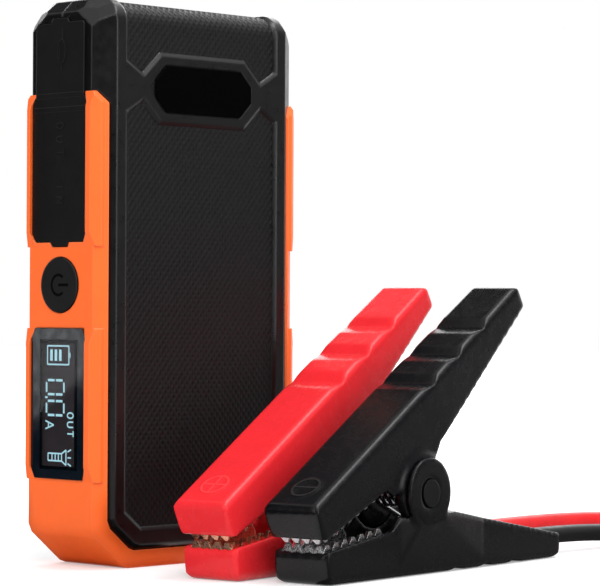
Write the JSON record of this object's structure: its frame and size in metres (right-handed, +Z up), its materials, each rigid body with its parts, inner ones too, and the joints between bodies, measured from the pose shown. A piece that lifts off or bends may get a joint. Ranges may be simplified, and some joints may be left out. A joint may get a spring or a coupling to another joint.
{
  "type": "jump starter pack",
  "caption": "Pocket battery pack with an orange frame, side display and covered ports, and a red and a black spring clamp on short leads to a plug.",
  "frame": {"origin": "centre of the pack's base", "axes": "+Z up the standing pack, front face towards -Y, the side with the ports and display towards -X"},
  "size_m": [0.2863, 0.1971, 0.1868],
  "materials": {
    "housing_black": "satin",
    "frame_orange": "satin",
    "panel_black": "matt, fine lattice",
    "badge_black": "polished",
    "cover_rubber": "matt",
    "button_black": "satin",
    "window_clear": "polished",
    "display_dark": "polished",
    "bay_black": "satin",
    "port_steel": "satin",
    "contact_brass": "satin",
    "board_green": "matt",
    "switch_black": "satin",
    "cell_wrap": "satin",
    "tab_nickel": "satin",
    "pad_foam": "matt",
    "lead_red": "satin",
    "lead_black": "satin",
    "lens_clear": "polished",
    "reflector_bright": "polished",
    "screw_steel": "satin",
    "clamp_red": "semi-gloss",
    "clamp_black": "semi-gloss",
    "jaw_copper": "satin",
    "jaw_steel": "satin",
    "spring_steel": "satin",
    "pin_steel": "satin",
    "plug_black": "satin"
  },
  "bodies": {
    "pack": {"front_cover": "housing_black", "back_cover": "housing_black", "side_frame": "frame_orange", "grip_panel_upper": "panel_black", "grip_panel_lower": "panel_black", "back_grip_panel": "panel_black", "badge_plate": "badge_black", "case_screws": "screw_steel", "button_switch": "switch_black", "display_window": "window_clear", "display_module": "display_dark", "control_board": "board_green", "port_cover_anchor": "cover_rubber", "port_bay": "bay_black", "jump_socket": "bay_black", "socket_contacts": "contact_brass", "usb_port_upper": "port_steel", "usb_port_lower": "port_steel", "charge_port": "port_steel", "main_board": "board_green", "cell_front": "cell_wrap", "cell_middle": "cell_wrap", "cell_back": "cell_wrap", "cell_tabs": "tab_nickel", "cell_pad_front": "pad_foam", "cell_pad_back": "pad_foam", "lead_positive": "lead_red", "lead_negative": "lead_black", "torch_lens": "lens_clear", "torch_reflector": "reflector_bright", "torch_board": "board_green", "red_lead": "lead_red", "black_lead": "lead_black", "plug_body": "plug_black", "plug_boot": "plug_black", "plug_pins": "contact_brass", "red_lower_shell": "clamp_red", "red_lower_jaw": "jaw_copper", "red_pivot_pin": "pin_steel", "red_spring": "spring_steel", "red_lower_rivet": "pin_steel", "red_inner_lead": "lead_red", "black_lower_shell": "clamp_black", "black_lower_jaw": "jaw_steel", "black_pivot_pin": "pin_steel", "black_spring": "spring_steel", "black_lower_rivet": "pin_steel", "black_inner_lead": "lead_black"},
    "power_button": {"power_button": "button_black"},
    "port_leaf_upper": {"port_leaf_upper": "cover_rubber"},
    "port_leaf_lower": {"port_leaf_lower": "cover_rubber"},
    "red_jaw": {"red_upper_shell": "clamp_red", "red_upper_jaw": "jaw_copper", "red_upper_rivet": "pin_steel"},
    "black_jaw": {"black_upper_shell": "clamp_black", "black_upper_jaw": "jaw_steel", "black_upper_rivet": "pin_steel"}
  },
  "joints": [
    {"name": "red_clamp_hinge", "type": "hinge", "parent": "pack", "child": "red_jaw", "pos_m": [0.0105, -0.0578, 0.02645], "axis": [-0.1288, 0.9917, 0], "range_deg": [0, 40], "stiffness_Nm_per_rad": 0.8, "springref_deg": -45.84, "deforming": ["red_spring"]},
    {"name": "black_clamp_hinge", "type": "hinge", "parent": "pack", "child": "black_jaw", "pos_m": [0.0219, -0.0876, 0.02645], "axis": [-0.108, 0.9942, 0], "range_deg": [0, 40], "stiffness_Nm_per_rad": 0.8, "springref_deg": -45.84, "deforming": ["black_spring"]},
    {"name": "power_button_press", "type": "slide", "parent": "pack", "child": "power_button", "axis": [1, 0, 0], "range_m": [0, 0.0005], "stiffness_N_per_m": 150, "springref_m": -0.002},
    {"name": "port_leaf_upper_hinge", "type": "hinge", "parent": "pack", "child": "port_leaf_upper", "pos_m": [-0.0454, 0.0004, 0.1557], "axis": [0, -1, 0], "range_deg": [0, 90], "stiffness_Nm_per_rad": 0.0015, "springref_deg": -5.73},
    {"name": "port_leaf_lower_hinge", "type": "hinge", "parent": "pack", "child": "port_leaf_lower", "pos_m": [-0.0454, 0.0004, 0.1499], "axis": [0, 1, 0], "range_deg": [0, 90], "stiffness_Nm_per_rad": 0.0015, "springref_deg": -5.73}
  ]
}
